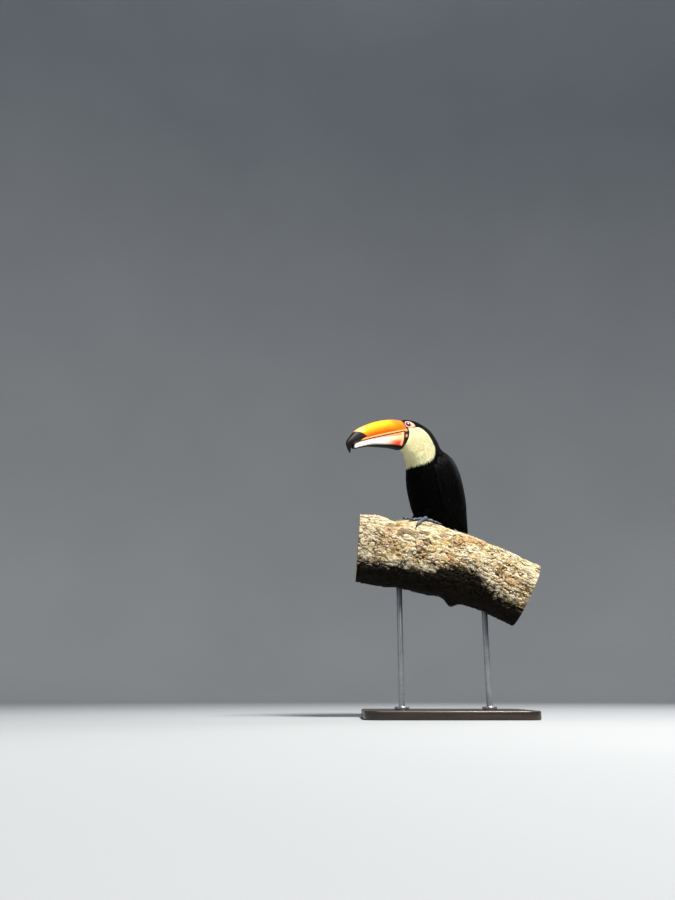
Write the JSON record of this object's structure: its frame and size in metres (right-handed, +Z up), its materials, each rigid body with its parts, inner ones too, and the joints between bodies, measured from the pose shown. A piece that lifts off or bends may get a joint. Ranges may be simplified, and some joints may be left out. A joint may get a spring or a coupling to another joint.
{
  "type": "toco toucan model",
  "caption": "Life-size still model of a toco toucan perched upright on a cut length of branch, on a flat base with plain rods.",
  "frame": {"origin": "centre of the stand base's underside, on the floor", "axes": "+Z up; the branch runs along X and falls towards +X; the bird faces -X, turned 41 degrees towards -Y"},
  "size_m": [0.4396, 0.2795, 0.6744],
  "materials": {
    "bill": "smooth horn, yellow above to orange and red below, with a black tip spot",
    "plumage": "black feathers with a slight gloss",
    "bib": "soft cream-white feathers",
    "eye": "dark brown, wet gloss",
    "foot": "blue-grey scaly skin with dark claws",
    "bark": "pale flaky bark, cut ends bare",
    "base": "satin dark lacquer",
    "rod": "brushed steel"
  },
  "bodies": {
    "root": {"bill_upper": "bill", "bill_lower": "bill", "head": "plumage", "neck": "bib", "trunk": "plumage", "tail": "plumage", "wing_left": "plumage", "wing_right": "plumage", "eye_left": "eye", "eye_right": "eye", "leg_left": "plumage", "leg_right": "plumage", "foot_left": "foot", "foot_right": "foot", "perch": "bark", "stand_base": "base", "stand_rod_left": "rod", "stand_rod_right": "rod"}
  },
  "joints": []
}
